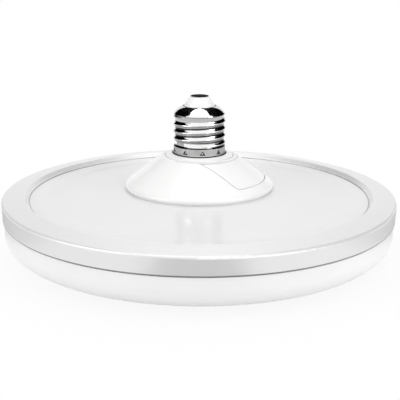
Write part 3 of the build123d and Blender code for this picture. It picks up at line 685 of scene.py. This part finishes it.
ground = Finish(
    "floor_white", Base_Color=(*grey(0.8), 1), Roughness=1.0, Specular_IOR_Level=0.0
)
rays = ray(ground, "Camera") + ray(ground, "Glossy") + ray(ground, "Transmission")
white_light = {"Color": (*grey(1), 1), "Strength": 1.0}
glow = ground.node("ShaderNodeEmission", None, white_light, "Emission")

half_way = (shadow_inner + shadow_outer) / 2
half_width = (shadow_outer - shadow_inner) / 2
near = shadow_share * ground.below(ground.radius(), half_way, half_width)
showing = rays * (1 - near)
matt = Wire(ground, ground.shader.outputs[0])
mix = ground.node("ShaderNodeMixShader", None, {0: showing, 1: matt, 2: glow}, "Shader")
ground.links.new(mix.socket, ground.nodes["Material Output"].inputs["Surface"])
floor_mesh.materials.append(ground.material)
print("the shadow fades out at %.0f mm" % (shadow_outer / MM))

# %% [markdown]
# ## The world
#
# The world is the white room round the lamp. The camera and reflections see it
# at full white. As a light it works at about half of that, which leaves the
# rest to the lamps, because light from everywhere alone would hide every form.

# %% World
ambient = 0.54

world = bpy.data.worlds.new("studio")
world.use_nodes = True
bpy.context.scene.world = world
room = Tree(world.node_tree)
sky = room.nodes["Background"]
sky.inputs["Color"].default_value = (*grey(1), 1)
full = (ray(room, "Camera") + ray(room, "Glossy")).clamped()
strength = ambient + (1 - ambient) * full
room.links.new(strength.socket, sky.inputs["Strength"])
print("the world lights at", ambient)

# %% [markdown]
# ## Lamps
#
# White plastic shows its form only through soft changes of tone. A wide panel
# overhead lights the plate and the ring, and a panel on each side of the camera
# lights the band. Spots would draw hard shadows, so the panels are large and
# weak, and the white pieces stay just under full white.

# %% Lamps
middle = Vector((0, 0, seam_z))


def around(azimuth, elevation, distance):
    """A place round the lamp; azimuth 0 is the camera's side and 90 the right."""
    turn, lift = math.radians(azimuth), math.radians(elevation)
    flat = math.cos(lift)
    way = Vector((math.sin(turn) * flat, -math.cos(turn) * flat, math.sin(lift)))
    return middle + distance * way


def facing_middle(place):
    """The rotation that turns -Z from a place towards the lamp."""
    return (middle - place).to_track_quat("-Z", "Y").to_matrix()


def panel(name, place, size, power):
    """A rectangular soft light aimed at the lamp."""
    data = bpy.data.lights.new(name, "AREA")
    data.shape = "RECTANGLE"
    data.size, data.size_y = size
    data.energy = power
    lamp = bpy.data.objects.new(name, data)
    bpy.context.collection.objects.link(lamp)
    lamp.matrix_world = Matrix.Translation(place) @ facing_middle(place).to_4x4()
    print(name, "at", [round(v, 2) for v in place], "with", power, "W")


# Name, azimuth and elevation in degrees, distance and size in metres, watts.
panels = (
    ("overhead", 180, 80, 1.3, (1.6, 1.5), 9.4),
    ("left_panel", -62, 22, 1.2, (0.8, 0.6), 3.9),
    ("right_panel", 50, 22, 1.2, (0.8, 0.6), 3.6),
    ("right_fill", 75, 48, 1.2, (0.5, 0.5), 1.3),
)
for name, azimuth, elevation, distance, size, power in panels:
    panel(name, around(azimuth, elevation, distance), size, power)

# %% [markdown]
# ## Cards for the reflections
#
# Gloss shows what stands round it, and in an empty white room metal looks like
# plaster. A photographer puts up black cards, which draw the dark lines on the
# cap and the darker middle on the band. Grey cards tone down the plate and the
# ring. Painting these lines on the metal would fix them to one view. The cards
# are seen by reflections alone, and they throw no shadow. The blackest lines on
# the cap, in the groove, at the thread's foot and round the mouth, are painted
# shade on the metal all the same.

# %% Cards
def card(name, tone, size, rotation, place):
    """A card of one tone that only reflections see."""
    half_a_metre = 0.5
    shape = bmesh.new()
    bmesh.ops.create_grid(shape, x_segments=1, y_segments=1, size=half_a_metre)
    bmesh.ops.scale(shape, verts=shape.verts, vec=(*size, 1))
    bmesh.ops.rotate(shape, verts=shape.verts, matrix=rotation)
    bmesh.ops.translate(shape, verts=shape.verts, vec=place)
    mesh = bpy.data.meshes.new(name)
    shape.to_mesh(mesh)
    shape.free()
    paper = Finish(
        name,
        Base_Color=(*grey(0), 1),
        Specular_IOR_Level=0.0,
        Emission_Color=(*grey(1), 1),
        Emission_Strength=tone,
    )
    mesh.materials.append(paper.material)
    made = bpy.data.objects.new(name, mesh)
    made.visible_camera = False
    made.visible_diffuse = False
    made.visible_shadow = False
    bpy.context.collection.objects.link(made)
    print(name, "with tone", tone)


# Name, tone, azimuth and elevation in degrees, distance and size in metres.
standing_cards = (
    ("front_card", 0, 0, 4, 0.85, (1.1, 0.2)),
    ("left_card", 0, -122, 40, 0.7, (0.76, 0.86)),
    ("right_card", 0, 122, 40, 0.7, (0.76, 0.86)),
    ("back_card", 0.8, 180, 25, 0.75, (1.1, 0.62)),
)
for name, tone, azimuth, elevation, distance, size in standing_cards:
    place = around(azimuth, elevation, distance)
    card(name, tone, size, facing_middle(place), place)

# %% Cards that lie on the floor
# Name, tone, azimuth in degrees, distance and size in metres.
lying_cards = (
    ("front_floor_card", 0, 0, 0.165, (0.08, 0.12)),
    ("left_floor_card", 0.4, -105, 0.19, (0.24, 0.16)),
    ("right_floor_card", 0.4, 105, 0.19, (0.24, 0.16)),
)
for name, tone, azimuth, distance, size in lying_cards:
    place = around(azimuth, 0, distance)
    place.z = MM
    card(name, tone, size, Matrix.Rotation(math.radians(azimuth), 3, "Z"), place)

# %% [markdown]
# ## Finish
#
# The colours are shown as they are written, with the Standard view, because a
# filmic view would turn the whites grey.

# %% View
bpy.context.scene.view_settings.view_transform = "Standard"
